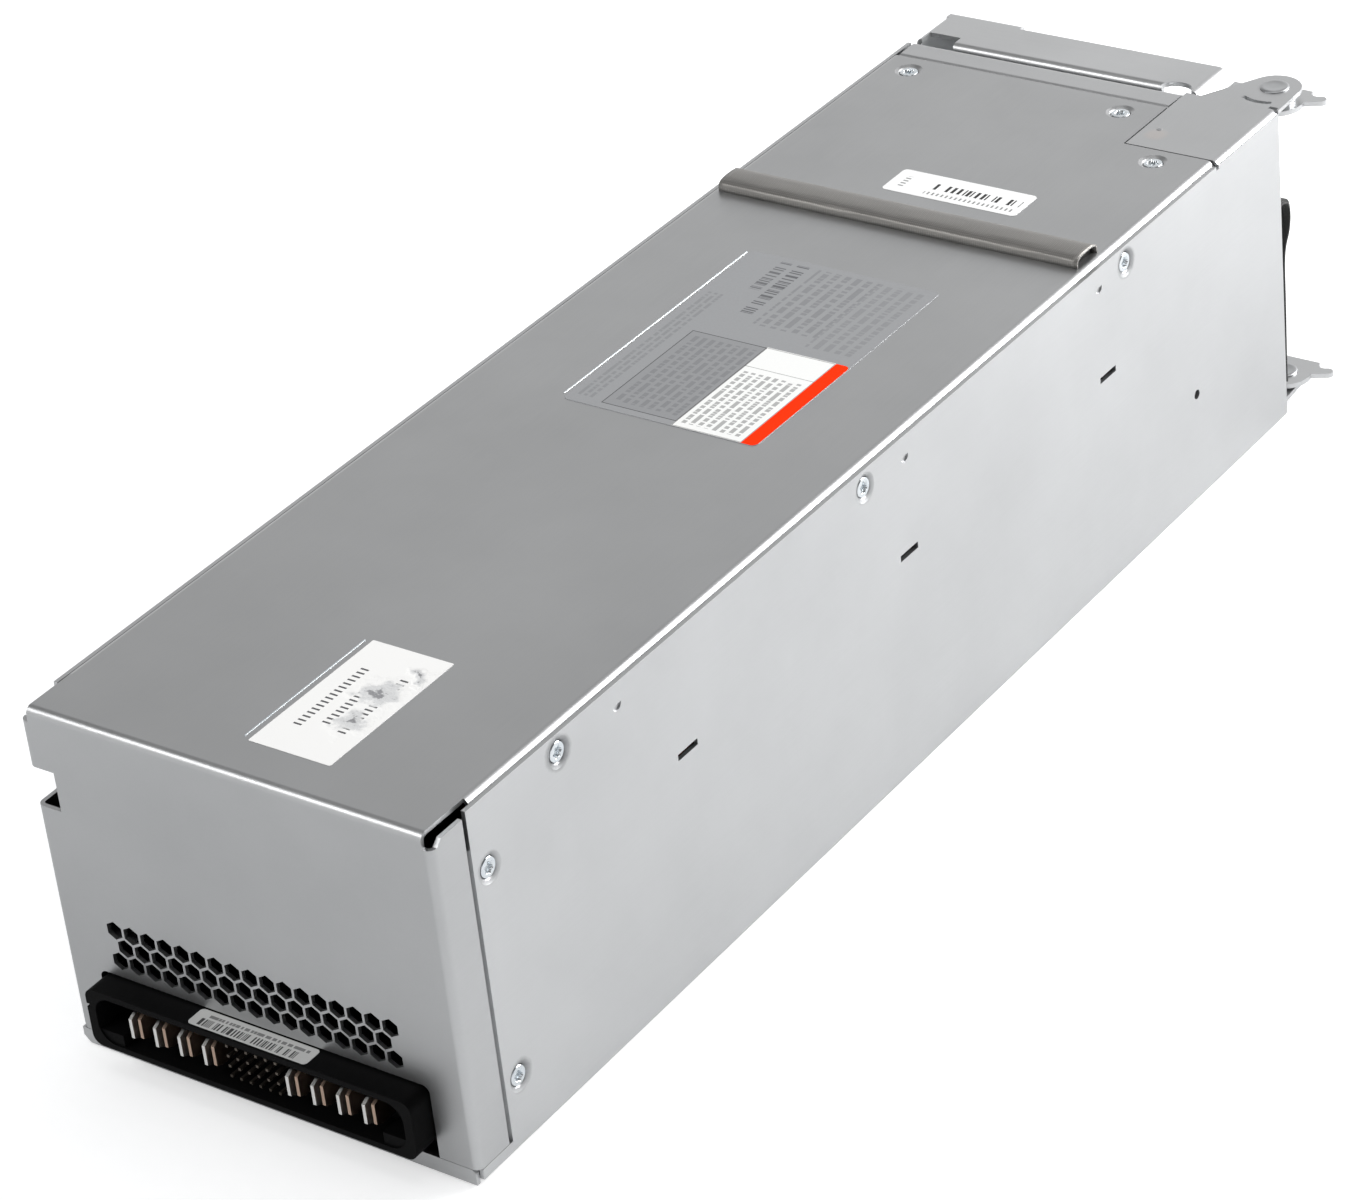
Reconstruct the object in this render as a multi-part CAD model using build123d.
from build123d import *
import os
from math import cos, hypot, radians, sin, sqrt

# Hot swap server power supply: a folded steel case with a blind-mate connector at its
# near end and fans, mains inlet, switch and a pivoting cam handle at its service end.
# Millimetres. X is the width, Y runs from the connector end to the service end, Z is up.
# The origin is the centre of the case's underside.

# Case
case_width = 104.5
case_height = 84.3
case_length = 338.3
sheet = 1.0
bend = 1.8
nest_gap = 0.1
shut_gap = 0.4
press_gap = 0.03

half_width = case_width / 2
near = -case_length / 2
rear = case_length / 2
wall_in = half_width - sheet
inner_face = wall_in - nest_gap
roof_in = case_height - sheet

# Near panel and its joggled side flanges
return_depth = 10.0
return_tuck = 12.0
wall_start = 11.2
lip_height = 3.7
wall_top = case_height - 0.9
cover_flange = 9.0
relief = 1.1
lip_chamfer = 1.6
knee_relief = 2.3
flange_top = case_height - 1.95
relief_low = case_height - 3.4
roof_fold_start = 13.9
tab_half = 4.0

# Key slot in the near panel's left edge
key_high = case_height - 14.5
key_low = key_high - 9.5
key_depth = 6.75

# Near vent: pointed-up hexagons
hex_pitch = 4.475
hex_web = 0.6
hex_row = hex_pitch * sqrt(3) / 2
vent_centre = -1.2
vent_low = 25.65
vent_counts = (17, 16, 17)

# Blind-mate connector
plug_centre = -0.6
plug_width = 84.8
plug_low = 6.7
plug_high = 21.0
plug_proud = 6.0
plug_tail = 26.0
plug_pocket = 8.0
plug_wall = 1.4
plug_end_wall = 2.2
plug_corner = 2.4
plug_block = 6.2
plug_gap = 0.5
plug_round = 4.3
plug_nick = 0.8
plug_nick_level = 16.6
guide_radius = 3.2
guide_depth = 12.0
guide_inset = 1.4
plug_rivet = 1.2
plug_rivet_head = 2.2
plug_rivet_from_near = 18.0
plug_rivet_inset = 2.6
blade_pitch = 6.53
blade_count = 4
blade_first = 10.9
blade_leaf = 0.8
blade_split = 1.0
blade_height = 6.4
blade_tip = 4.8
blade_taper = 1.6
blade_level = 13.6
blade_back = 0.7
blade_stagger = 0.8
blade_tail = 30.0
pin_pitch = 2.54
pin_columns = 6
pin_rows = 4
pin_side = 0.64
pin_level = 13.4
pin_back = 1.8

# Countersunk six-lobe screws
screw_head = 2.6
screw_head_depth = 1.0
screw_shank = 1.4
screw_clear = 0.1
screw_sunk = 0.35
dimple_radius = 3.5

# Side wall holes, as distance from the near end and height
rim_level = case_height - 5.3
side_screws = ((16.1, case_height - 17.0), (16.1, 16.7), (41.1, rim_level),
               (case_length - 185.4, rim_level), (case_length - 73.9, rim_level))
side_screw_length = 5.0
side_slots = (82.0, case_length - 170.7, case_length - 84.3)
side_slot_level = case_height - 29.3
side_slot_length = 7.0
side_slot_width = 1.5
side_marks = (60.8, case_length - 169.7, case_length - 86.4)
side_mark_level = case_height - 5.7
side_mark_radius = 1.5
side_mark_depth = 0.4
side_hole = (case_length - 44.1, 29.1)
side_hole_radius = 1.2

# Roof screws, lug plate and rear strip
roof_screws = ((10.05 - half_width, case_length - 15.5), (half_width - 34.55, case_length - 15.3))
corner_screw = (half_width - 14.15, case_length - 35.7)
roof_screw_length = 3.6
strip_start = case_length - 8.8
strip_tuck = 12.4
strip_gap = 0.2
strip_ramp = 0.5
joggle = 1.1
joggle_bend = 1.2
lug_left = half_width - 24.95
lug_start = case_length - 29.6
lug_setback = 3.9
flange_sink = case_height - 14.3
lug_radius = 6.6
lug_relief = 1.2
slot_radius = 8.7
slot_width = 1.3
lug_arc = (-122.0, -67.0)

# Rear panel
panel_inset = 0.3
panel_flange = 14.0
panel_outer = rear - panel_inset
panel_in = panel_outer - sheet

# Gasket strip on the roof
gasket_start = case_length - 90.1
gasket_width = 9.6
gasket_height = 2.8
gasket_half = half_width - 3.25
gasket_wall = 0.5

# Cam handle
pivot_x = half_width - 6.85
pivot_y = rear + 11.0
rivet_radius = 2.5
rivet_head = 3.6
rivet_head_height = 0.7
rivet_gap = 0.05
handle_sheet = 1.2
handle_bend = 1.6
arm_near = 1.5
arm_far = 15.9
grip_far = 18.4
grip_left = 1.75 - half_width
grip_right = grip_left + 21.5
boss_radius = 7.2
boss_far = 9.9
upper_arm = case_height - 3.25
lower_arm = 6.0
arm_rise = case_height - upper_arm
ramp_start = pivot_x - 16.9
ramp_end = ramp_start + 3.5
ramp_bend = 2.4
arch_half = 4.1
arch_depth = 3.2
flange_start = grip_left + 10.5
flange_end = ramp_start - 8.9
flange_drop = 7.0
notch_depth = 4.2
fork_angle = 27.0
fork_offset = 2.6
fork_reach = 12.4
fork_root = 8.8
fork_slot = 1.9
fork_prong = 2.8
lower_lug = 3.0
lower_lug_sheet = 1.2
lower_lug_left = pivot_x - 15.4
lower_lug_start = case_length - 40.3
lower_lug_rise = 20.0
lower_lug_radius = 5.0
spacer_radius = 5.0

# Handle latch
latch_x = grip_left + 13.5
latch_y = rear + 11.0
latch_hub = 3.4
latch_pin = 1.5
latch_thick = 10.0
latch_below_fan = 1.5
latch_hook = 2.2
latch_hook_gap = 0.3
latch_arm = 2.6
latch_pad = 24.0
latch_pad_thick = 2.4
latch_pad_rise = 5.0
latch_ribs = 4
latch_rib = 0.5
latch_rib_pitch = 2.5
latch_shift = 1.5
latch_slot_width = 6.0
spring_radius = 2.3
spring_half = 3.5
latch_slot_height = 13.0
ear_thick = 1.2
ear_gap = 0.15

# Fans
fan_size = 40.0
fan_depth = 28.0
fan_bore = 18.9
fan_tip = 18.2
fan_hub = 9.4
fan_level = case_height - 24.8
fan_pitch = fan_size + 1.0
fan_right = half_width - 23.75
fan_centres = (fan_right - fan_pitch, fan_right)
fan_names = ("left", "right")
latch_level = fan_level - (fan_size + latch_thick) / 2 - latch_below_fan
fan_blades = 7
fan_blade_thick = 1.1
fan_blade_pitch = 38.0
fan_hole_pitch = 32.0
fan_hole_radius = 1.9
fan_shaft = 1.5
fan_shaft_gap = 0.05
fan_motor = 9.0
fan_flange = 3.5
fan_strut = 2.4
fan_run = 0.8
fan_screw_head = 3.0
fan_screw_height = 1.3
grille_radius = 18.6
grille_pitch = 6.2

# Mains inlet and switch
inlet_x = half_width - 25.25
service_level = 20.5
inlet_flange = (31.0, 23.0)
inlet_body = (27.0, 20.0)
inlet_pocket = (24.6, 16.6)
inlet_depth = 26.0
inlet_pocket_depth = 17.0
flange_thick = 2.2
inlet_chamfer = 4.0
inlet_pin = (4.0, 2.0)
inlet_pin_x = 7.0
inlet_pin_z = 2.0
inlet_tail = 6.0
switch_x = inlet_x - 33.0
switch_bezel = (15.0, 21.0)
switch_body = (13.0, 19.2)
switch_depth = 18.0
switch_tab = (4.8, 0.8)
switch_tab_level = 6.0
rocker_size = (10.6, 16.6)
rocker_tilt = 8.0
rocker_gap = 0.3
rocker_well = 9.0
rocker_depth = 4.5
rocker_rise = 1.6
rocker_foot = 3.4
rocker_pin = 1.0
led_x = switch_x - 20.0
led_radius = 1.5
led_pitch = 6.0
led_count = 4
led_gap = 0.05
led_proud = 0.5
led_standoff = 10.0
led_board = (8.0, 1.5)

# Cord strap
strap_width = 13.0
strap_thick = 1.5
strap_tail = 3.5
strap_foot = 3.0
strap_end = 8.0
strap_bulge = 7.2
strap_bend = 2.0
strap_x = fan_centres[1] + fan_hole_pitch / 2
strap_level = fan_level - fan_hole_pitch / 2

# Main board and what it carries
board_low = 7.0
board_thick = 1.6
board_half = wall_in - 3.75
board_near = 9.5
board_far = case_length - 36.3
board_top = board_low + board_thick
film_thick = 0.3
standoff_radius = 3.0
standoff_hole = 1.3
standoff_x = board_half - 5.5
standoff_y = (36.0, board_far - 96.0, board_far - 12.0)
board_screw_head = 2.8
board_screw_height = 2.0

# Components, as (x, distance from the near end)
bus_length = 27.0
bus_thick = 2.0
output_can = (5.0, 20.0)
output_first = 64.0
output_row = 12.0
output_cans = tuple((x, output_first + row * output_row) for row in (0, 1) for x in (-24.0, -12.0, 12.0, 24.0))
bulk_can = (15.0, 50.0)
bulk_pitch = 32.0
bulk_from_near = board_far - 76.0
bulk_cans = ((-bulk_pitch / 2, bulk_from_near), (bulk_pitch / 2, bulk_from_near))
inductor = (12.0, 4.0, 15.0)
inductor_places = ((-16.0, 98.0), (16.0, 98.0))
boost_core = (17.0, 6.0, 20.0)
boost_place = (18.5 - board_half, board_far - 34.0)
stage_middle = (board_near + board_far) / 2
sink_x = (15.5 - board_half, board_half - 13.5)
sink_plate = 3.0
sink_fin = 9.0
sink_fins = 7
sink_height = 46.0
output_sink_span = (stage_middle - 28.0, stage_middle + 40.0)
primary_sink_span = (stage_middle - 28.0, stage_middle + 44.0)
output_devices = tuple(stage_middle - 18.0 + 16.0 * i for i in range(4))
primary_devices = tuple(stage_middle - 16.0 + 20.0 * i for i in range(3))
rectifier_size = (10.2, 15.0, 4.5)
transistor_size = (15.8, 20.6, 4.9)
device_lift = 6.0
device_leg = 0.6
core_size = (44.0, 32.0, 38.0)
core_lift = 3.0
core_leg = 5.5
core_yoke = 7.6
winding_reach = 7.0
winding_foot = 5.0
choke_x = (board_half - 36.5, board_half - 13.0)
choke_from_near = board_far - 28.0
choke_base = (22.0, 18.0, 2.0)
choke_core = (18.0, 6.0, 22.0)
choke_limb = 4.0
choke_coil = (8.6, 10.0, 12.0)
film_cap = (17.0, 9.0, 15.0)
film_cap_places = ((board_half - 31.0, board_far - 49.0), (board_half - 12.0, board_far - 49.0))
fuse_place = (inlet_x - 17.0, board_far - 14.0)
fuse_radius = 2.4
fuse_cap = 2.5
fuse_half = 8.0
relay_size = (10.2, 18.0, 15.5)
relay_place = (board_half - 6.1, bulk_from_near)
card_x = 3.5 - board_half
card_span = (56.0, 108.0)
card_height = 34.0
card_chips = ((66.0, 22.0, 10.0), (82.0, 18.0, 14.0), (98.0, 22.0, 8.0))
chip_thick = 1.6
inlet_wire = 1.6
switch_wire = 1.3
fan_wire = 1.1
inlet_wire_ends = (board_far - 6.0, board_far - 11.0)
switch_wire_ends = (board_far - 3.0, board_far - 9.0)
fan_wire_end = board_far - 2.5


def block(x0, x1, y0, y1, z0, z1):
    size = Box(x1 - x0, y1 - y0, z1 - z0)
    return Pos((x0 + x1) / 2, (y0 + y1) / 2, (z0 + z1) / 2) * size


def rod_x(x0, x1, y, z, radius):
    return Pos((x0 + x1) / 2, y, z) * Rot(0, 90, 0) * Cylinder(radius, abs(x1 - x0))


def rod_y(x, y0, y1, z, radius):
    return Pos(x, (y0 + y1) / 2, z) * Rot(90, 0, 0) * Cylinder(radius, abs(y1 - y0))


def rod_z(x, y, z0, z1, radius):
    return Pos(x, y, (z0 + z1) / 2) * Cylinder(radius, abs(z1 - z0))


def from_near(distance):
    return near + distance


def folded(path, thickness=sheet, outer=bend):
    """Face of a folded strip: the path is its right-hand side, the metal lies to its left."""
    count = len(path)
    radii = outer if isinstance(outer, (list, tuple)) else [outer] * (count - 2)
    normals = []
    for a, b in zip(path[:-1], path[1:]):
        run = hypot(b[0] - a[0], b[1] - a[1])
        normals.append((-(b[1] - a[1]) / run, (b[0] - a[0]) / run))
    inner = []
    near_radii = []
    far_radii = []
    for i, point in enumerate(path):
        if i in (0, count - 1):
            n = normals[0] if i == 0 else normals[-1]
            inner.append((point[0] + n[0] * thickness, point[1] + n[1] * thickness))
            continue
        before, after = normals[i - 1], normals[i]
        cosine = 1 + before[0] * after[0] + before[1] * after[1]
        shift = thickness / cosine
        inner.append((point[0] + (before[0] + after[0]) * shift,
                      point[1] + (before[1] + after[1]) * shift))
        left_turn = before[0] * after[1] - before[1] * after[0] > 0
        corner = radii[i - 1]
        near_radii.append(corner if left_turn else corner - thickness)
        far_radii.append(corner - thickness if left_turn else corner)
    first = FilletPolyline(*path, radius=near_radii)
    second = FilletPolyline(*inner, radius=far_radii)
    edges = list(first.edges()) + list(second.edges())
    edges.append(Line(path[0], inner[0]))
    edges.append(Line(path[-1], inner[-1]))
    return make_face(edges)


def along_x(face, x0, x1):
    """Extrude a face drawn as (Y, Z) from x0 to x1."""
    return extrude(Plane.YZ.offset(x0) * face, amount=x1 - x0)


def along_y(face, y0, y1):
    """Extrude a face drawn as (X, Z) from y0 to y1."""
    return extrude(Plane.XZ.offset(-y0) * face, amount=-(y1 - y0))


def along_z(face, z0, z1):
    """Extrude a face drawn as (X, Y) from z0 to z1."""
    return extrude(Pos(0, 0, z0) * face, amount=z1 - z0)


def rounded(width, height, radius, x=0.0, y=0.0):
    return Pos(x, y) * RectangleRounded(width, height, radius)


def hexagons(places, pitch=hex_pitch):
    cell = RegularPolygon(radius=(pitch - hex_web) / 2, side_count=6, major_radius=False, rotation=30)
    return [Pos(x, z) * cell for x, z in places]


def screw(length):
    """Countersunk screw whose top face is at Z = 0 and whose shank points down."""
    head = Pos(0, 0, -screw_head_depth / 2) * Cone(screw_shank, screw_head, screw_head_depth)
    shank = Pos(0, 0, -(length + screw_head_depth) / 2) * Cylinder(screw_shank, length - screw_head_depth)
    return head + shank


def screw_hole(depth):
    """Dimple, countersink and clearance hole for a screw set just below the surface Z = 0."""
    gap = screw_clear
    dimple = Pos(0, 0, -screw_sunk / 2) * Cone(screw_head + gap, dimple_radius, screw_sunk)
    cone = Pos(0, 0, -screw_sunk - screw_head_depth / 2) * Cone(
        screw_shank + gap, screw_head + gap, screw_head_depth)
    return dimple + cone + Pos(0, 0, -depth / 2) * Cylinder(screw_shank + gap, depth)


def on_wall(shape, side, distance, level, sunk=0.0):
    """Place a shape made on Z = 0, pointing down, on the outer face of a side wall."""
    turn = Rot(0, 90, 0) if side > 0 else Rot(0, -90, 0)
    return Pos(side * (half_width - sunk), from_near(distance), level) * turn * shape


def on_roof(shape, x, distance, sunk=0.0):
    return Pos(x, from_near(distance), case_height - sunk) * shape


# Case


def lug_tip(radius, left, right):
    """Outline in (X, Y) from the case's rear edge to a round end about the handle's pivot."""
    base = Polyline((left, rear - nest_gap), (right, rear - nest_gap), (right - nest_gap, rear), close=True)
    end = Circle(radius)
    ring = [edge.moved(Location((pivot_x, pivot_y, 0))) for edge in end.edges()]
    return make_face(make_hull(list(base.edges()) + ring))


def lug_slot():
    """Curved slot beside the upper rivet, as a face in (X, Y)."""
    first, last = lug_arc
    arc = CenterArc((pivot_x, pivot_y), slot_radius, first, last - first)
    return trace(arc, line_width=slot_width)


def side_cuts(body):
    """Screw holes, slots, half-moon marks and the small hole that both walls carry."""
    for side in (-1, 1):
        for distance, level in side_screws:
            body -= on_wall(screw_hole(side_screw_length), side, distance, level)
        for distance in side_slots:
            body -= Pos(side * half_width, from_near(distance), side_slot_level) * Box(
                4 * sheet, side_slot_length, side_slot_width)
        for distance in side_marks:
            disc = rod_x(side * (half_width - side_mark_depth), side * (half_width + sheet),
                         from_near(distance), side_mark_level, side_mark_radius)
            upper = Pos(side * half_width, from_near(distance), side_mark_level + side_mark_radius)
            body -= disc - upper * Box(4 * sheet, 4 * side_mark_radius, 2 * side_mark_radius)
        body -= rod_x(side * (half_width - 2 * sheet), side * (half_width + sheet),
                      from_near(side_hole[0]), side_hole[1], side_hole_radius)
    return body


def make_chassis():
    """Floor, both walls, near lip and the lug plate folded over from the right-hand wall."""
    start = from_near(wall_start)
    walls = folded([(-half_width, wall_top), (-half_width, 0), (half_width, 0), (half_width, wall_top)])
    body = along_y(walls, start, rear)
    kerbs = folded([(-half_width, lip_height), (-half_width, 0), (half_width, 0), (half_width, lip_height)])
    tongue = along_y(kerbs, near + relief, start)
    for side in (-1, 1):
        tongue -= Pos(side * half_width, near + relief, 0) * Rot(45, 0, 0) * Box(
            6 * sheet, lip_chamfer, lip_chamfer)
    body += tongue
    left = -half_width + nest_gap
    right = wall_in - nest_gap
    lip_face = make_face(Polyline(
        (left + lip_chamfer, 0), (left, lip_chamfer), (left, lip_height), (right - lip_chamfer / 2, lip_height),
        (right, lip_height - lip_chamfer / 2), (right, 0), close=True))
    body += along_y(lip_face, near, near + sheet)
    body += block(left + lip_chamfer, wall_in - bend, near, start, 0, sheet)
    lug_near = from_near(lug_start)
    wrap = folded([(half_width, wall_top - 2 * bend), (half_width, case_height),
                   (half_width - 2 * bend, case_height)])
    body += along_y(wrap, lug_near, rear)
    body += block(lug_left, half_width - 2 * bend + nest_gap, lug_near, rear, roof_in, case_height)
    body += along_z(lug_tip(lug_radius, lug_left + lug_setback, half_width), roof_in, case_height)
    body -= block(wall_in - bend, half_width + sheet, lug_near - lug_relief, lug_near, wall_top - sheet, case_height)
    body -= block(wall_in - bend, half_width - sheet / 2, rear, rear + lug_relief, roof_in, case_height)
    body -= along_z(lug_slot(), roof_in, case_height)
    body -= rod_z(pivot_x, pivot_y, roof_in, case_height, rivet_radius + press_gap)
    tab_near = from_near(corner_screw[1]) - tab_half
    tab_top = roof_in - nest_gap
    body += block(corner_screw[0] - tab_half, wall_in, tab_near, tab_near + 2 * tab_half, tab_top - sheet, tab_top)
    body += block(wall_in - sheet, wall_in, tab_near, tab_near + 2 * tab_half, wall_top - sheet, tab_top)
    body -= on_roof(screw_hole(roof_screw_length), corner_screw[0], corner_screw[1])
    return side_cuts(body)


def make_lower_bracket():
    """Joggled strap welded to the floor; it carries the handle's lower pivot."""
    start = from_near(lower_lug_start)
    rise = rear - lower_lug_rise
    lift = lower_lug - sheet
    profile = folded([(start, sheet), (rise, sheet), (rise + 2 * lift, lower_lug),
                      (pivot_y + lug_radius, lower_lug)], lower_lug_sheet, 2 * lower_lug_sheet)
    strap = along_x(profile, lower_lug_left, half_width)
    flat = block(lower_lug_left, wall_in - bend, start, rear, 0, lower_lug + 2 * sheet)
    tip = along_z(lug_tip(lower_lug_radius, lower_lug_left, inner_face), 0, lower_lug + 2 * sheet)
    hole = rod_z(pivot_x, pivot_y, 0, lower_lug + 2 * sheet, rivet_radius + press_gap)
    return (strap & (flat + tip)) - hole


def near_vent():
    """Hexagon centres of the near panel's vent, as (X, Z)."""
    cells = []
    for row, count in enumerate(vent_counts):
        for i in range(count):
            cells.append((vent_centre + (i - (count - 1) / 2) * hex_pitch, vent_low + row * hex_row))
    return cells


def corner_relief():
    """Openings at both top corners of the near panel, below the roof's edge."""
    slope = flange_top - relief_low
    face = make_face(Polyline(
        (near - sheet, relief_low), (near + bend, relief_low), (near + bend + slope, flange_top),
        (near + bend + slope, case_height + sheet), (near - sheet, case_height + sheet), close=True))
    edge = half_width - knee_relief
    return along_x(face, edge, half_width + sheet) + along_x(face, -half_width - sheet, -edge)


def make_cover():
    """Roof, near panel and the flanges folded from both."""
    low = lip_height + nest_gap
    panel_top = case_height - bend
    flat = Pos(0, (low + panel_top) / 2) * Rectangle(2 * (half_width - bend), panel_top - low)
    flat -= hexagons(near_vent())
    mouth_top = plug_high + plug_gap
    flat -= rounded(plug_width + 2 * plug_gap, 2 * (mouth_top - low), bend, plug_centre, low)
    body = along_y(flat, near, near + sheet)
    knee = folded([(near + 2 * bend, case_height), (near, case_height), (near, case_height - 2 * bend)])
    body += along_x(knee, knee_relief - half_width, half_width - knee_relief)
    return_edge = near + return_depth
    tuck_end = return_edge + return_tuck
    edge_fold = [(-half_width, return_edge), (-half_width, near), (-half_width + 2 * bend, near)]
    step = half_width - inner_face
    tuck_fold = [(-inner_face, tuck_end), (-inner_face, return_edge + step), (-half_width, return_edge - step / 2)]
    edge_face = folded(edge_fold)
    tuck_face = folded(tuck_fold + edge_fold[1:], sheet, [joggle_bend, joggle_bend, bend])
    flange_low = roof_in - cover_flange
    for side in (-1, 1):
        edge = along_z(edge_face, low, flange_top)
        tuck = along_z(tuck_face, low, flange_low - shut_gap)
        body += (edge + tuck) if side < 0 else mirror(edge + tuck, about=Plane.YZ)
    body -= block(-half_width - sheet, -half_width + key_depth, near - sheet, near + key_depth, key_low, key_high)
    body -= corner_relief()
    start = from_near(roof_fold_start)
    seam = from_near(strip_start) - strip_gap
    hat = folded([(inner_face, flange_low), (inner_face, case_height), (-inner_face, case_height),
                  (-inner_face, flange_low)])
    body += along_y(hat, start, seam)
    edge = half_width - knee_relief
    body += block(-edge, edge, near + 2 * bend - nest_gap, start, roof_in, case_height)
    return cover_cuts(sink_corner(body, seam))


def sink_corner(body, seam):
    """Lower the roof's rear right-hand corner so that the lug plate lies flush over it."""
    left = lug_left - shut_gap
    front = from_near(lug_start) - shut_gap
    body -= block(left, half_width, front, seam, flange_sink, case_height)
    floor = roof_in - joggle
    body += block(left - sheet, half_width - bend - nest_gap, front - sheet, seam, floor, floor + sheet)
    body += block(left - sheet, left, front - sheet, seam, floor, case_height)
    body += block(left - sheet, inner_face - bend, front - sheet, front, floor, case_height)
    tab = corner_screw[0] - tab_half - shut_gap
    tab_front = from_near(corner_screw[1]) - tab_half - shut_gap
    tab_length = 2 * (tab_half + shut_gap)
    return body - block(tab, half_width, tab_front, tab_front + tab_length, flange_sink, roof_in - nest_gap / 2)


def cover_cuts(body):
    for side in (-1, 1):
        for distance, level in side_screws:
            body -= on_wall(screw_hole(side_screw_length), side, distance, level)
    for x, distance in roof_screws + (corner_screw,):
        body -= on_roof(screw_hole(roof_screw_length), x, distance)
    return body


def grille_cells(centre):
    """Hexagon centres inside one round fan grille, as (X, Z)."""
    cells = []
    reach = int(grille_radius / grille_pitch) + 2
    rise = grille_pitch * sqrt(3) / 2
    for row in range(-reach, reach + 1):
        for column in range(-reach, reach + 1):
            x = (column + (row % 2) / 2) * grille_pitch
            z = row * rise
            if hypot(x, z) < grille_radius - grille_pitch / 2:
                cells.append((centre + x, fan_level + z))
    return cells


def fan_corners(centre):
    half = fan_hole_pitch / 2
    return [(centre + i * half, fan_level + j * half) for i in (-1, 1) for j in (-1, 1)]


def led_places():
    return [(led_x, service_level + (i - (led_count - 1) / 2) * led_pitch) for i in range(led_count)]


def make_rear_panel():
    """Service end wall with the fan grilles and the openings for inlet, switch, lights and latch."""
    low = sheet + nest_gap
    split = lug_left - shut_gap
    top = case_height - bend
    lug_side_top = roof_in - joggle - nest_gap
    side = inner_face - bend
    flat = Pos((split - side) / 2, (low + top) / 2) * Rectangle(split + side, top - low)
    flat += Pos((split + side) / 2, (low + lug_side_top) / 2) * Rectangle(side - split, lug_side_top - low)
    flat -= Pos((lower_lug_left + half_width) / 2, lower_lug) * Rectangle(
        half_width - lower_lug_left + 2 * nest_gap, 2 * (lower_lug_sheet + nest_gap))
    for centre in fan_centres:
        flat -= hexagons(grille_cells(centre), grille_pitch)
        for x, z in fan_corners(centre):
            flat -= Pos(x, z) * Circle(fan_hole_radius)
    for (width, height), x in ((inlet_body, inlet_x), (switch_body, switch_x)):
        flat -= rounded(width + 2 * nest_gap, height + 2 * nest_gap, sheet / 2, x, service_level)
    for x, z in led_places():
        flat -= Pos(x, z) * Circle(led_radius + led_gap)
    flat -= Pos(latch_x - latch_shift, latch_level) * Rectangle(latch_slot_width, latch_slot_height)
    body = along_y(flat, panel_in, panel_outer)
    wing = folded([(-side + bend, panel_outer), (-inner_face, panel_outer), (-inner_face, panel_outer - panel_flange)])
    wing_top = roof_in - cover_flange - shut_gap
    wing_low = lower_lug + 2 * lower_lug_sheet
    for hand in (-1, 1):
        solid = along_z(wing, wing_low, wing_top)
        body += solid if hand < 0 else mirror(solid, about=Plane.YZ)
    start = from_near(strip_start)
    ramp = start - strip_gap / 2
    strip = folded([(panel_outer, top - bend), (panel_outer, case_height), (ramp + strip_ramp, case_height),
                    (ramp, case_height - joggle), (start - strip_tuck, case_height - joggle)],
                   sheet, [bend, joggle_bend, joggle_bend])
    body += along_x(strip, -side, split)
    body -= block(split - sheet - nest_gap, split, start - strip_tuck, start - strip_gap, lug_side_top - sheet, case_height)
    for x, distance in roof_screws:
        body -= on_roof(screw_hole(roof_screw_length), x, distance)
    return body


def make_gasket():
    """Hollow D-section strip across the roof."""
    section = RectangleRounded(gasket_width, 2 * gasket_height, gasket_height * 0.9)
    inner = RectangleRounded(gasket_width - 2 * gasket_wall, 2 * (gasket_height - gasket_wall),
                             (gasket_height - gasket_wall) * 0.9)
    upper = Pos(0, gasket_height) * Rectangle(gasket_width, 2 * gasket_height)
    bore = Pos(0, gasket_height + gasket_wall) * Rectangle(gasket_width, 2 * gasket_height)
    shape = (section & upper) - (inner & bore)
    place = Pos(from_near(gasket_start) + gasket_width / 2, case_height)
    return along_x(place * shape, -gasket_half, gasket_half)


def make_side_screws():
    solids = []
    for side in (-1, 1):
        for distance, level in side_screws:
            solids.append(on_wall(screw(side_screw_length), side, distance, level, screw_sunk))
    return Compound(children=solids)


def make_roof_screws():
    places = roof_screws + (corner_screw,)
    return Compound(children=[on_roof(screw(roof_screw_length), x, y, screw_sunk) for x, y in places])


# Cam handle


def fork_outline():
    """Two-pronged cam fork, drawn about the pivot and turned to its rest angle."""
    half = fork_slot + fork_prong
    end = fork_reach - fork_prong / 2
    shape = Pos(end / 2, fork_offset) * Rectangle(end, 2 * half)
    for side in (-1, 1):
        shape += Pos(end, fork_offset + side * (fork_slot + fork_prong / 2)) * Circle(fork_prong / 2)
    root = fork_root + fork_slot
    shape -= Pos(root, fork_offset) * Circle(fork_slot)
    shape -= Pos(root + fork_reach / 2, fork_offset) * Rectangle(fork_reach, 2 * fork_slot)
    return Pos(pivot_x, pivot_y) * Rot(0, 0, fork_angle) * shape


def arm_outline():
    """Plan of both arms, from the grip to the cam forks."""
    first = rear + arm_near
    last = rear + arm_far
    plan = Pos((flange_start + grip_left) / 2, (first + last) / 2) * Rectangle(
        flange_start - grip_left, last - first)
    middle = first + 2 * handle_bend
    plan += Pos((flange_start + flange_end) / 2, (middle + last) / 2) * Rectangle(
        flange_end - flange_start, last - middle)
    tail = Polyline((flange_end, first), (ramp_end, first), (pivot_x, pivot_y - boss_radius),
                    (pivot_x + boss_radius, pivot_y), (pivot_x + boss_radius / 2, pivot_y + boss_far),
                    (ramp_end + boss_radius + 2, pivot_y + boss_far), (ramp_end + 3, last),
                    (flange_end, last), close=True)
    plan += make_face(tail)
    plan += Pos(pivot_x, pivot_y) * Circle(boss_radius)
    arch = Pos(flange_end + arch_half, first) * Ellipse(arch_half, arch_depth)
    return plan + fork_outline() - arch


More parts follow.
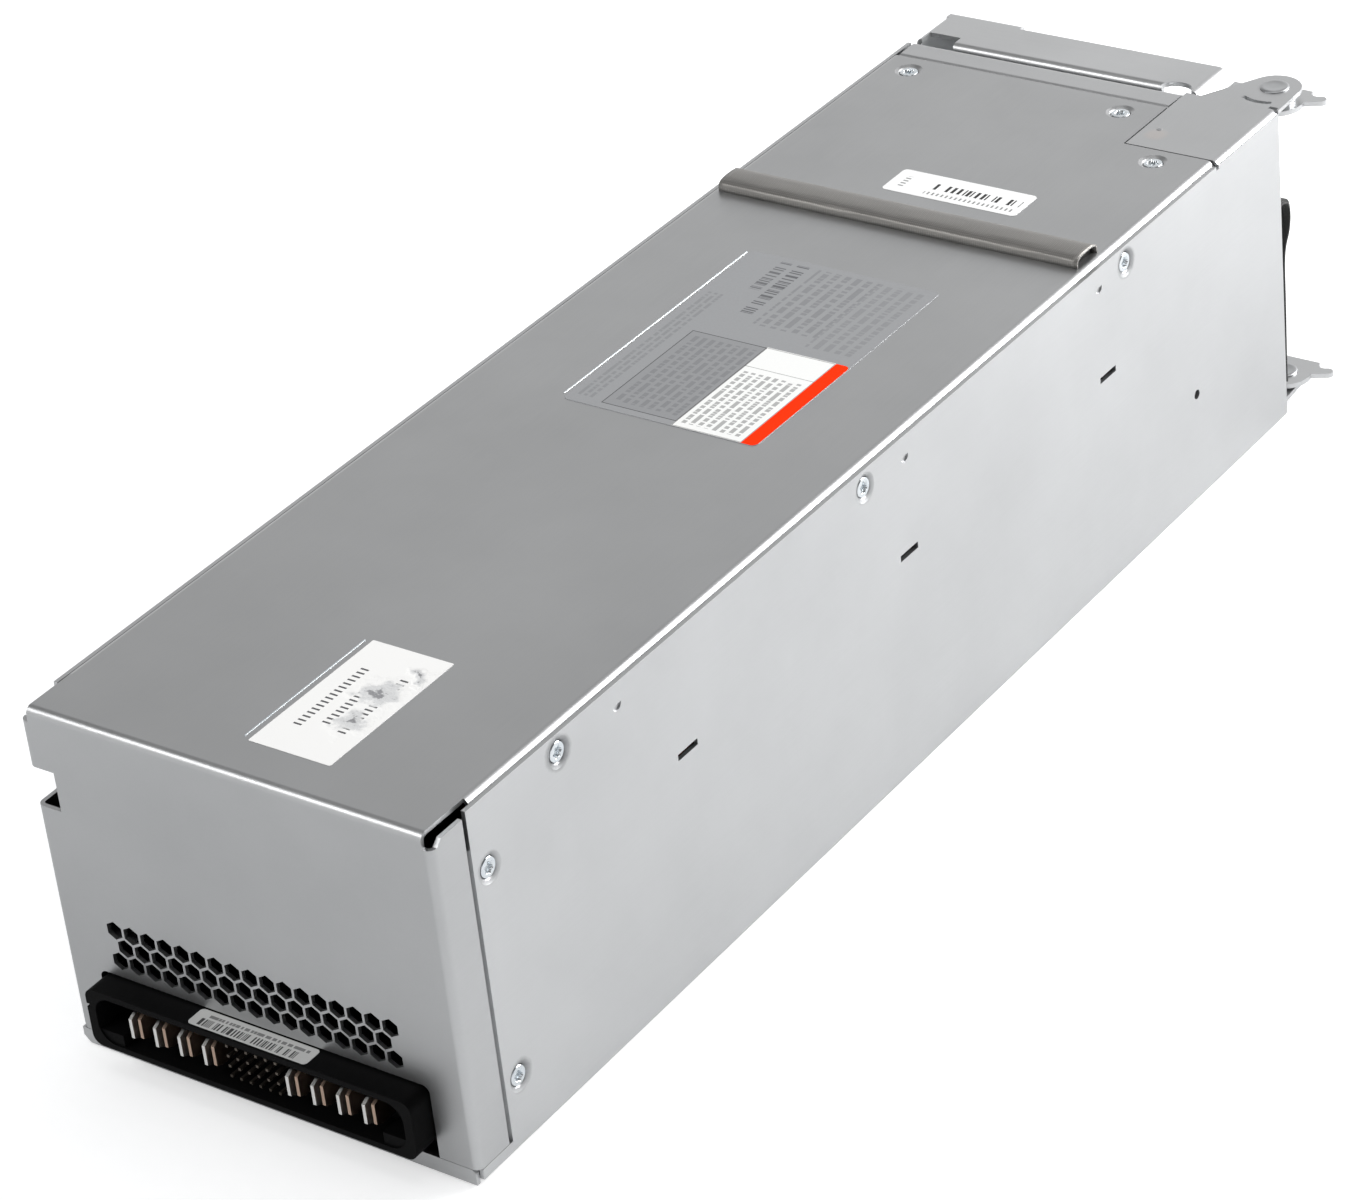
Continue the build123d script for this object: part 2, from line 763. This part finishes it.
def make_handle():
    """Bail folded from one strip: two arms, a channel-shaped grip and a cam fork on each arm."""
    low = lower_arm - handle_sheet - arm_rise
    far_end = pivot_x + fork_reach + fork_prong
    loop = folded([(far_end, upper_arm), (ramp_end, upper_arm), (ramp_start, case_height),
                   (grip_left, case_height), (grip_left, low), (ramp_start, low),
                   (ramp_end, low + arm_rise), (far_end, low + arm_rise)],
                  handle_sheet, [ramp_bend, ramp_bend, handle_bend, handle_bend, ramp_bend, ramp_bend])
    strip = along_y(loop, rear + arm_near, rear + grip_far)
    web = block(grip_left, grip_left + 2 * handle_bend, rear + arm_near,
                rear + grip_far - handle_sheet - shut_gap, 0, case_height)
    body = strip & (along_z(arm_outline(), 0, case_height) + web)
    grip_y = rear + grip_far
    fold_back = 2 * handle_bend + nest_gap
    grip = folded([(grip_y - fold_back, low), (grip_y, low), (grip_y, case_height), (grip_y - fold_back, case_height)],
                  handle_sheet, handle_bend)
    body += along_x(grip, grip_left + shut_gap, grip_right)
    stiff_y = rear + arm_near
    upper = folded([(stiff_y + fold_back, case_height), (stiff_y, case_height), (stiff_y, case_height - flange_drop)],
                   handle_sheet, handle_bend)
    lower = folded([(stiff_y, low + flange_drop), (stiff_y, low), (stiff_y + fold_back, low)],
                   handle_sheet, handle_bend)
    body += along_x(upper, flange_start, flange_end) + along_x(lower, flange_start, flange_end)
    body -= block(grip_left + handle_bend, flange_start, stiff_y, stiff_y + notch_depth,
                  case_height - 2 * handle_sheet, case_height)
    ear_far = latch_y + latch_hub + 1
    for side in (-1, 1):
        level = latch_level + side * (latch_thick / 2 + ear_gap + ear_thick / 2)
        ear = Pos((grip_left + latch_x) / 2, (latch_y - latch_hub + ear_far) / 2, level) * Box(
            latch_x - grip_left, ear_far - latch_y + latch_hub, ear_thick)
        ear += Pos(latch_x, latch_y, level) * Cylinder(latch_hub, ear_thick)
        body += ear
    body -= rod_z(latch_x, latch_y, low + 2, case_height - 2, latch_pin + press_gap)
    for level in (upper_arm, lower_arm):
        body -= rod_z(pivot_x, pivot_y, level - 2 * handle_sheet, level + handle_sheet, rivet_radius + rivet_gap)
    return body


def make_rivets():
    upper = rod_z(pivot_x, pivot_y, upper_arm - handle_sheet - rivet_gap, case_height, rivet_radius)
    upper += rod_z(pivot_x, pivot_y, case_height, case_height + rivet_head_height, rivet_head)
    upper += rod_z(pivot_x, pivot_y, upper_arm - handle_sheet - rivet_gap - rivet_head_height,
                   upper_arm - handle_sheet - rivet_gap, rivet_head)
    top = lower_arm + rivet_gap
    lower = rod_z(pivot_x, pivot_y, lower_lug, top, rivet_radius)
    lower += rod_z(pivot_x, pivot_y, top, top + rivet_head_height, rivet_head)
    lower += rod_z(pivot_x, pivot_y, lower_lug - rivet_head_height, lower_lug, rivet_head)
    return Compound(children=[upper, lower])


def make_spacers():
    """Washers that fill the space between each arm and its lug."""
    solids = []
    for z0, z1 in ((upper_arm + rivet_gap, roof_in), (lower_lug + lower_lug_sheet, lower_arm - handle_sheet - rivet_gap)):
        ring = rod_z(pivot_x, pivot_y, z0, z1, spacer_radius)
        solids.append(ring - rod_z(pivot_x, pivot_y, z0, z1, rivet_radius + press_gap))
    return Compound(children=solids)


def make_latch():
    """Squeeze latch: a hub with a finger pad and a hook that reaches through the rear panel."""
    hub = Pos(latch_x, latch_y) * Circle(latch_hub)
    reach = panel_in - latch_hook_gap - latch_hook
    arm = Pos(latch_x, (reach + latch_y) / 2) * Rectangle(latch_arm, latch_y - reach)
    nib = make_face(Polyline(
        (latch_x, reach), (latch_x + latch_arm / 2, reach), (latch_x + latch_arm / 2 + latch_hook, reach + latch_hook),
        (latch_x, reach + latch_hook), close=True))
    pad_y = latch_y + latch_pad_rise
    pad = make_face(Polyline(
        (latch_x, latch_y - latch_hub), (latch_x + latch_hub, latch_y - latch_hub / 2),
        (grip_right + 1, pad_y - latch_pad_thick), (grip_right + latch_pad, pad_y - latch_pad_thick),
        (grip_right + latch_pad, pad_y), (grip_right + 1, pad_y), (latch_x, latch_y + latch_hub), close=True))
    body = along_z(hub + arm + nib + pad, latch_level - latch_thick / 2, latch_level + latch_thick / 2)
    for i in range(latch_ribs):
        x = grip_right + latch_pad - 2 - i * latch_rib_pitch
        body += rod_z(x, pad_y, latch_level - latch_thick / 2, latch_level + latch_thick / 2, latch_rib)
    body = body - rod_z(latch_x, latch_y, 0, case_height, latch_pin + rivet_gap)
    cut = spring_radius + 3 * press_gap
    return body - (rod_z(latch_x, latch_y, latch_level - spring_half, latch_level + spring_half, cut))


def make_latch_pin():
    half = latch_thick / 2 + ear_gap + ear_thick
    return rod_z(latch_x, latch_y, latch_level - half - 0.6, latch_level + half + 0.6, latch_pin)


def make_latch_spring():
    """Coil around the latch pin, inside the hub."""
    outer = rod_z(latch_x, latch_y, latch_level - spring_half + 0.1, latch_level + spring_half - 0.1, spring_radius)
    inner = rod_z(latch_x, latch_y, 0, case_height, latch_pin + 2 * press_gap)
    return outer - inner


# Connector


def blade_places():
    return [plug_centre + side * (blade_first + i * blade_pitch) for side in (-1, 1) for i in range(blade_count)]


def make_blades():
    """Power contacts: pairs of tapered leaves."""
    tip = near - plug_proud + blade_back
    half = blade_height / 2
    small = blade_tip / 2
    face = make_face(Polyline(
        (from_near(blade_tail), -half), (tip + blade_taper, -half), (tip, -small), (tip, small),
        (tip + blade_taper, half), (from_near(blade_tail), half), close=True))
    leaf = along_x(face, -blade_leaf / 2, blade_leaf / 2)
    offset = (blade_leaf + blade_split) / 2
    solids = []
    for x in blade_places():
        solids.append(Pos(x - offset, 0, blade_level) * leaf)
        solids.append(Pos(x + offset, blade_stagger, blade_level) * leaf)
    return Compound(children=solids)


def make_signal_pins():
    tip = near - plug_proud + pin_back
    pins = []
    for row in range(pin_rows):
        z = pin_level + (row - (pin_rows - 1) / 2) * pin_pitch
        for column in range(pin_columns):
            x = plug_centre + (column - (pin_columns - 1) / 2) * pin_pitch
            pins.append(block(x - pin_side / 2, x + pin_side / 2, tip, from_near(plug_tail + 1),
                              z - pin_side / 2, z + pin_side / 2))
    return Compound(children=pins)


def plug_ends():
    """Both hands of the connector with the x of its outer end faces."""
    return [(hand, plug_centre + hand * plug_width / 2) for hand in (-1, 1)]


def plug_rivet_places():
    return [end - hand * (plug_wall + plug_rivet_inset) for hand, end in plug_ends()]


def make_plug_housing(blades, pins):
    """Moulded connector body: a hood with round-ended pockets, a contact block and guide sockets."""
    height = plug_high - plug_low
    middle = (plug_high + plug_low) / 2
    front = near - plug_proud
    step = from_near(board_near) - nest_gap
    body = along_y(rounded(plug_width, height, plug_corner, plug_centre, middle), front, step)
    body += block(plug_centre - plug_width / 2 + plug_wall, plug_centre + plug_width / 2 - plug_wall,
                  step, from_near(plug_tail), board_top, plug_high - plug_wall / 2)
    floor = front + plug_pocket
    hood = rounded(plug_width - 2 * plug_end_wall, height - 2 * plug_wall, plug_round, plug_centre, middle)
    body -= along_y(hood, front, floor)
    guide_level = plug_high - plug_wall - plug_round
    for hand, end in plug_ends():
        inside = end - hand * plug_end_wall
        low, high = sorted((inside, inside - hand * plug_block))
        body += block(low, high, front + shut_gap, floor, plug_low + plug_wall / 2, guide_level - plug_round)
        guide_x = inside - hand * (guide_inset + guide_radius)
        body -= rod_y(guide_x, floor, floor + guide_depth, guide_level, guide_radius)
    for x in plug_rivet_places():
        body -= rod_z(x, from_near(plug_rivet_from_near), board_top, board_top + 3 * plug_rivet,
                      plug_rivet + press_gap)
    left = plug_centre - plug_width / 2
    body -= Pos(left, front, plug_nick_level) * Box(2 * plug_nick, 4 * plug_nick, plug_nick)
    return body - blades - pins


def make_plug_rivets():
    y = from_near(plug_rivet_from_near)
    solids = []
    for x in plug_rivet_places():
        shank = rod_z(x, y, board_low - sheet, board_top + 3 * plug_rivet, plug_rivet)
        solids.append(shank + rod_z(x, y, board_low - sheet, board_low, plug_rivet_head))
    return Compound(children=solids)


# Service end


def make_fan_frame(centre):
    """Square frame with a round duct, corner screw holes and struts that carry the motor mount."""
    inner = panel_in - fan_depth
    half = fan_size / 2
    body = block(centre - half, centre + half, inner, panel_in, fan_level - half, fan_level + half)
    body -= rod_y(centre, inner, panel_in, fan_level, fan_bore)
    notch = fan_size / 5
    for x, z in fan_corners(centre):
        body -= Pos(x, (inner + panel_in) / 2, z) * Box(notch, fan_depth - 2 * fan_flange, notch)
        body -= rod_y(x, panel_in - fan_flange, panel_in, z, fan_hole_radius)
    mount = rod_y(centre, inner, inner + fan_flange, fan_level, fan_motor)
    for turn in (45, 135):
        mount += Pos(centre, inner + fan_flange / 2, fan_level) * Rot(0, turn, 0) * Box(
            2 * fan_bore + 1, fan_flange, fan_strut)
    mount -= rod_y(centre, inner, inner + fan_flange, fan_level, fan_shaft + fan_shaft_gap)
    return body + mount


def make_fan_rotor(centre):
    """Hub, shaft and pitched blades."""
    inner = panel_in - fan_depth
    start = inner + fan_flange + fan_run
    end = panel_in - fan_run
    hub = rod_y(centre, start, end, fan_level, fan_hub)
    hub += rod_y(centre, inner + fan_run, start + fan_run, fan_level, fan_shaft)
    disc = rod_y(centre, start + fan_run, end - fan_run, fan_level, fan_tip)
    middle = (start + end) / 2
    blades = []
    for i in range(fan_blades):
        spot = Pos(centre, middle, fan_level) * Rot(0, i * 360 / fan_blades, 0) * Pos(
            (fan_hub + fan_tip) / 2, 0, 0) * Rot(fan_blade_pitch, 0, 0)
        blades.append(spot * Box(fan_tip - fan_hub + 4, end - start, fan_blade_thick))
    for blade in blades:
        hub += blade & disc
    return hub


def make_fan_screws():
    """Self-cutting screws that hold the fans to the rear panel; one also clamps the cord strap."""
    solids = []
    for centre in fan_centres:
        for x, z in fan_corners(centre):
            seat = panel_outer + (strap_thick if (x, z) == (strap_x, strap_level) else 0)
            shank = rod_y(x, panel_in - fan_flange, seat, z, fan_hole_radius - press_gap)
            solids.append(shank + rod_y(x, seat, seat + fan_screw_height, z, fan_screw_head))
    return Compound(children=solids)


def inlet_pin_places():
    return [(inlet_x - inlet_pin_x, service_level - inlet_pin_z), (inlet_x + inlet_pin_x, service_level - inlet_pin_z),
            (inlet_x, service_level + inlet_pin_z)]


def make_inlet_pins():
    tip = panel_outer + flange_thick - 2
    tail = panel_outer - inlet_depth - inlet_tail
    wide, thin = inlet_pin
    return Compound(children=[block(x - thin / 2, x + thin / 2, tail, tip, z - wide / 2, z + wide / 2)
                              for x, z in inlet_pin_places()])


def make_inlet(pins):
    """Recessed mains inlet with a six-sided socket."""
    front = panel_outer + flange_thick
    body = along_y(rounded(*inlet_flange, 2.0, inlet_x, service_level), panel_outer, front)
    body += along_y(rounded(*inlet_body, sheet / 2, inlet_x, service_level), panel_outer - inlet_depth, panel_outer)
    half_x, half_z = inlet_pocket[0] / 2, inlet_pocket[1] / 2
    cut = inlet_chamfer
    socket = make_face(Polyline(
        (-half_x, -half_z), (half_x, -half_z), (half_x, half_z - cut), (half_x - cut, half_z),
        (-half_x + cut, half_z), (-half_x, half_z - cut), close=True))
    body -= along_y(Pos(inlet_x, service_level) * socket, front - inlet_pocket_depth, front)
    return body - pins


def make_switch_housing():
    front = panel_outer + flange_thick
    body = along_y(rounded(*switch_bezel, 1.5, switch_x, service_level), panel_outer, front)
    body += along_y(rounded(*switch_body, sheet / 2, switch_x, service_level), panel_outer - switch_depth, panel_outer)
    well = Pos(switch_x, service_level) * Rectangle(rocker_size[0] + 2 * rocker_gap, rocker_size[1] + 2 * rocker_gap)
    body -= along_y(well, front - rocker_well, front)
    pivot = front - rocker_depth
    return body - rod_x(switch_x - switch_body[0] / 2 + 0.6, switch_x + switch_body[0] / 2 - 0.6, pivot,
                        service_level, rocker_pin + rivet_gap)


def make_rocker():
    """Rocker with two sloping faces, tilted to its off position."""
    front = panel_outer + flange_thick
    pivot = front - rocker_depth
    half = rocker_size[1] / 2 - 0.8
    face = make_face(Polyline(
        (-rocker_foot, -half * 0.62), (rocker_depth - 0.6, -half), (rocker_depth + rocker_rise, -half),
        (rocker_depth, 0), (rocker_depth + rocker_rise, half), (rocker_depth - 0.6, half),
        (-rocker_foot, half * 0.62), close=True))
    shape = along_x(face, -rocker_size[0] / 2, rocker_size[0] / 2)
    pin = rod_x(-switch_body[0] / 2 + 0.7, switch_body[0] / 2 - 0.7, 0, 0, rocker_pin)
    return Pos(switch_x, pivot, service_level) * Rot(-rocker_tilt, 0, 0) * (shape + pin)


def make_switch_tabs():
    rear_y = panel_outer - switch_depth
    wide, thin = switch_tab
    return Compound(children=[Pos(switch_x, rear_y - inlet_tail / 2, service_level + level) * Box(
        wide, inlet_tail, thin) for level in (-switch_tab_level, switch_tab_level)])


def make_light_pipes():
    back = panel_in - led_standoff
    body = None
    for x, z in led_places():
        pipe = rod_y(x, back, panel_outer + led_proud, z, led_radius)
        body = pipe if body is None else body + pipe
    low, high = led_places()[0][1], led_places()[-1][1]
    return body + block(led_x - sheet, led_x + sheet, back + sheet, panel_in - sheet, low, high)


def make_light_board():
    back = panel_in - led_standoff
    low, high = led_places()[0][1], led_places()[-1][1]
    wide, edge = led_board
    return block(led_x - wide / 2, led_x + wide / 2, back - board_thick, back, low - edge, high + edge)


def make_strap():
    """Hook-and-loop cord strap, clamped under a fan screw, folded over and hanging."""
    inner = panel_outer + strap_thick / 2
    outer = panel_outer + strap_bulge
    tail = panel_outer + strap_tail
    path = FilletPolyline(
        (inner, strap_level - strap_foot), (inner, strap_level + 7), (inner + strap_bend, strap_level + 12),
        (outer, strap_level + 8), (outer - 0.4, strap_level + 4), (tail, strap_level - 5), (tail, strap_end),
        radius=strap_bend)
    body = along_x(trace(path, line_width=strap_thick), strap_x - strap_width / 2, strap_x + strap_width / 2)
    return body - rod_y(strap_x, panel_outer, panel_outer + strap_thick, strap_level, fan_hole_radius)


# Inside


def make_film():
    side = standoff_x - standoff_radius - 1
    return block(-side, side, from_near(board_near + 20), from_near(board_far - 6), sheet, sheet + film_thick)


def standoff_places():
    return [(x, from_near(distance)) for x in (-standoff_x, standoff_x) for distance in standoff_y]


def make_board():
    body = block(-board_half, board_half, from_near(board_near), from_near(board_far), board_low, board_top)
    for x, y in standoff_places():
        body -= rod_z(x, y, board_low, board_top, standoff_hole)
    for x in plug_rivet_places():
        body -= rod_z(x, from_near(plug_rivet_from_near), board_low, board_top, plug_rivet + press_gap)
    return body


def make_standoffs():
    """Six-sided pressed-in standoffs."""
    post = extrude(RegularPolygon(standoff_radius, 6), amount=board_low - sheet)
    return Compound(children=[Pos(x, y, sheet) * post for x, y in standoff_places()])


def make_board_screws():
    solids = []
    for x, y in standoff_places():
        shank = rod_z(x, y, board_low, board_top, standoff_hole - press_gap)
        solids.append(shank + rod_z(x, y, board_top, board_top + board_screw_height, board_screw_head))
    return Compound(children=solids)


def make_bus_bars():
    """Copper bars from the blade tails to the output filter."""
    solids = []
    span = blade_count * blade_pitch
    for side in (-1, 1):
        x = plug_centre + side * (blade_first + (blade_count - 1) * blade_pitch / 2)
        end = from_near(blade_tail) + blade_stagger
        bar = block(x - span / 2, x + span / 2, end, end + bus_thick, board_top, blade_level + blade_height / 2)
        solids.append(bar + block(x - span / 4, x + span / 4, end + bus_thick, end + bus_length,
                                  board_top, board_top + bus_thick))
    return Compound(children=solids)


def on_board(size, x, distance):
    """Plain block of a component, standing on the main board."""
    return Pos(x, from_near(distance), board_top + size[2] / 2) * Box(*size)


def cans(places, radius, height):
    """Upright electrolytic capacitors."""
    return Compound(children=[rod_z(x, from_near(distance), board_top, board_top + height, radius)
                              for x, distance in places])


def coil(x, distance, radius, hole, height):
    """Wound ring core lying flat."""
    ring = rod_z(x, from_near(distance), board_top, board_top + height, radius)
    return ring - rod_z(x, from_near(distance), board_top, board_top + height, hole)


def make_heatsink(x, first, last, side):
    """Upright plate with fins towards the wall, extruded along the air flow."""
    y0, y1 = from_near(first), from_near(last)
    low, high = sorted((x, x + side * sink_plate))
    body = block(low, high, y0, y1, board_top, board_top + sink_height)
    fin_low, fin_high = sorted((x + side * sink_plate, x + side * (sink_plate + sink_fin)))
    for i in range(sink_fins):
        z = board_top + 4 + i * (sink_height - 5) / sink_fins
        body += block(fin_low, fin_high, y0, y1, z, z + sheet)
    return body


def devices(x, distances, side, size):
    """Packaged transistors clamped flat on a heatsink, each with three legs."""
    width, height, thick = size
    foot = board_top + device_lift
    low, high = sorted((x, x - side * thick))
    middle = (low + high) / 2
    solids = []
    for distance in distances:
        y = from_near(distance)
        body = block(low, high, y - width / 2, y + width / 2, foot, foot + height)
        for leg in (-1, 0, 1):
            leg_y = y + leg * width / 3
            body += block(middle - device_leg / 2, middle + device_leg / 2, leg_y - device_leg, leg_y + device_leg,
                          board_top, foot)
        solids.append(body)
    return Compound(children=solids)


def make_transformer_core():
    """Two-window core lying on its side."""
    y = from_near(stage_middle)
    long, deep, tall = core_size
    low = board_top + core_lift
    body = block(-long / 2, long / 2, y - deep / 2, y + deep / 2, low, low + tall)
    for side in (-1, 1):
        x0, x1 = sorted((side * core_leg, side * (long / 2 - core_leg)))
        body -= block(x0, x1, y - deep / 2, y + deep / 2, low + core_yoke, low + tall - core_yoke)
    return body


def make_transformer_winding():
    """Bobbin and windings around the core's middle leg."""
    y = from_near(stage_middle)
    long, deep, tall = core_size
    half = long / 2 - core_leg - shut_gap
    z0, z1 = board_top + core_lift + core_yoke + nest_gap, board_top + core_lift + tall - core_yoke - nest_gap
    body = along_z(rounded(2 * half, deep + 2 * winding_reach, winding_foot, 0, y), z0, z1)
    body -= block(-core_leg - nest_gap, core_leg + nest_gap, y - deep / 2 - nest_gap, y + deep / 2 + nest_gap, z0, z1)
    for side in (-1, 1):
        y0, y1 = sorted((y + side * (deep / 2 + sheet), y + side * (deep / 2 + sheet + winding_foot)))
        body += block(-half, half, y0, y1, board_top, z0)
    return body


def make_line_chokes():
    """Common-mode chokes: two coils on a square core, on a base."""
    solids = []
    y = from_near(choke_from_near)
    wide, deep, base = choke_base
    core_wide, core_deep, core_tall = choke_core
    coil_wide, coil_deep, coil_tall = choke_coil
    low = board_top + base
    middle = low + core_tall / 2
    for x in choke_x:
        body = block(x - wide / 2, x + wide / 2, y - deep / 2, y + deep / 2, board_top, low)
        core = block(x - core_wide / 2, x + core_wide / 2, y - core_deep / 2, y + core_deep / 2, low, low + core_tall)
        body += core - Pos(x, y, middle) * Box(
            core_wide - 2 * choke_limb, core_deep, core_tall - 2 * choke_limb)
        for side in (-1, 1):
            body += Pos(x + side * (wide - coil_wide) / 2, y, middle) * Box(coil_wide, coil_deep, coil_tall)
        solids.append(body)
    return Compound(children=solids)


def make_film_capacitors():
    return Compound(children=[on_board(film_cap, x, distance) for x, distance in film_cap_places])


def make_fuse():
    x, y = fuse_place[0], from_near(fuse_place[1])
    cap = fuse_radius + shut_gap
    level = board_top + 2 * fuse_radius
    tube = rod_x(x - fuse_half, x + fuse_half, y, level, fuse_radius)
    for side in (-1, 1):
        end = x + side * fuse_half
        tube += rod_x(*sorted((end, end + side * fuse_cap)), y, level, cap)
        clip = sorted((end + side * shut_gap, end + side * (fuse_cap - shut_gap)))
        tube += block(*clip, y - fuse_radius, y + fuse_radius, board_top, level)
    return tube


def make_relay():
    return on_board(relay_size, *relay_place)


def make_control_card():
    y0, y1 = from_near(card_span[0]), from_near(card_span[1])
    return block(card_x, card_x + board_thick, y0, y1, board_top, board_top + card_height)


def make_control_chips():
    solids = []
    for distance, level, size in card_chips:
        y = from_near(distance)
        z = board_top + level
        solids.append(block(card_x + board_thick, card_x + board_thick + chip_thick, y - size / 2, y + size / 2,
                            z - size / 2, z + size / 2))
    return Compound(children=solids)


def lead(x, y0, z0, y1, radius):
    """Insulated lead: straight in from the service end, then down to the board."""
    run = rod_y(x, y1, y0, z0, radius - press_gap)
    return run + rod_z(x, y1, board_top, z0 + radius, radius)


def make_inlet_leads():
    start = panel_outer - inlet_depth - inlet_tail
    solids = []
    for x, z in inlet_pin_places():
        end = inlet_wire_ends[0] if z < service_level else inlet_wire_ends[1]
        solids.append(lead(x, start, z, from_near(end), inlet_wire))
    return Compound(children=solids)


def make_switch_leads():
    start = panel_outer - switch_depth - inlet_tail
    return Compound(children=[lead(switch_x, start, service_level + level, from_near(end), switch_wire)
                              for level, end in zip((-switch_tab_level, switch_tab_level), switch_wire_ends)])


def make_fan_leads():
    start = panel_in - fan_depth
    half = fan_size / 2
    return Compound(children=[lead(centre + half - fan_wire - shut_gap, start, fan_level - half + 2 * fan_wire,
                                   from_near(fan_wire_end), fan_wire) for centre in fan_centres])


def build():
    blades = make_blades()
    pins = make_signal_pins()
    inlet_pins = make_inlet_pins()
    left_x, right_x = sink_x
    pieces = {
        "chassis_tray": make_chassis(),
        "lower_pivot_bracket": make_lower_bracket(),
        "top_cover": make_cover(),
        "rear_panel": make_rear_panel(),
        "roof_gasket": make_gasket(),
        "side_screws": make_side_screws(),
        "roof_screws": make_roof_screws(),
        "handle_bail": make_handle(),
        "pivot_rivets": make_rivets(),
        "pivot_spacers": make_spacers(),
        "handle_latch": make_latch(),
        "latch_pin": make_latch_pin(),
        "latch_spring": make_latch_spring(),
        "connector_housing": make_plug_housing(blades, pins),
        "power_blades": blades,
        "signal_pins": pins,
        "connector_rivets": make_plug_rivets(),
        "fan_screws": make_fan_screws(),
        "inlet_socket": make_inlet(inlet_pins),
        "inlet_pins": inlet_pins,
        "switch_housing": make_switch_housing(),
        "switch_rocker": make_rocker(),
        "switch_tabs": make_switch_tabs(),
        "light_pipes": make_light_pipes(),
        "light_board": make_light_board(),
        "cord_strap": make_strap(),
        "insulator_film": make_film(),
        "main_board": make_board(),
        "board_standoffs": make_standoffs(),
        "board_screws": make_board_screws(),
        "bus_bars": make_bus_bars(),
        "output_capacitors": cans(output_cans, *output_can),
        "bulk_capacitors": cans(bulk_cans, *bulk_can),
        "output_inductors": Compound(children=[coil(x, d, *inductor) for x, d in inductor_places]),
        "boost_choke": coil(*boost_place, *boost_core),
        "output_heatsink": make_heatsink(left_x, *output_sink_span, -1),
        "primary_heatsink": make_heatsink(right_x, *primary_sink_span, 1),
        "output_rectifiers": devices(left_x, output_devices, -1, rectifier_size),
        "primary_transistors": devices(right_x, primary_devices, 1, transistor_size),
        "transformer_core": make_transformer_core(),
        "transformer_winding": make_transformer_winding(),
        "line_chokes": make_line_chokes(),
        "film_capacitors": make_film_capacitors(),
        "line_fuse": make_fuse(),
        "inrush_relay": make_relay(),
        "control_card": make_control_card(),
        "control_chips": make_control_chips(),
        "inlet_leads": make_inlet_leads(),
        "switch_leads": make_switch_leads(),
        "fan_leads": make_fan_leads(),
    }
    for name, centre in zip(fan_names, fan_centres):
        pieces["fan_frame_" + name] = make_fan_frame(centre)
        pieces["fan_rotor_" + name] = make_fan_rotor(centre)
    return pieces


os.makedirs("parts", exist_ok=True)
for node, shape in build().items():
    export_step(shape, "parts/" + node + ".step")
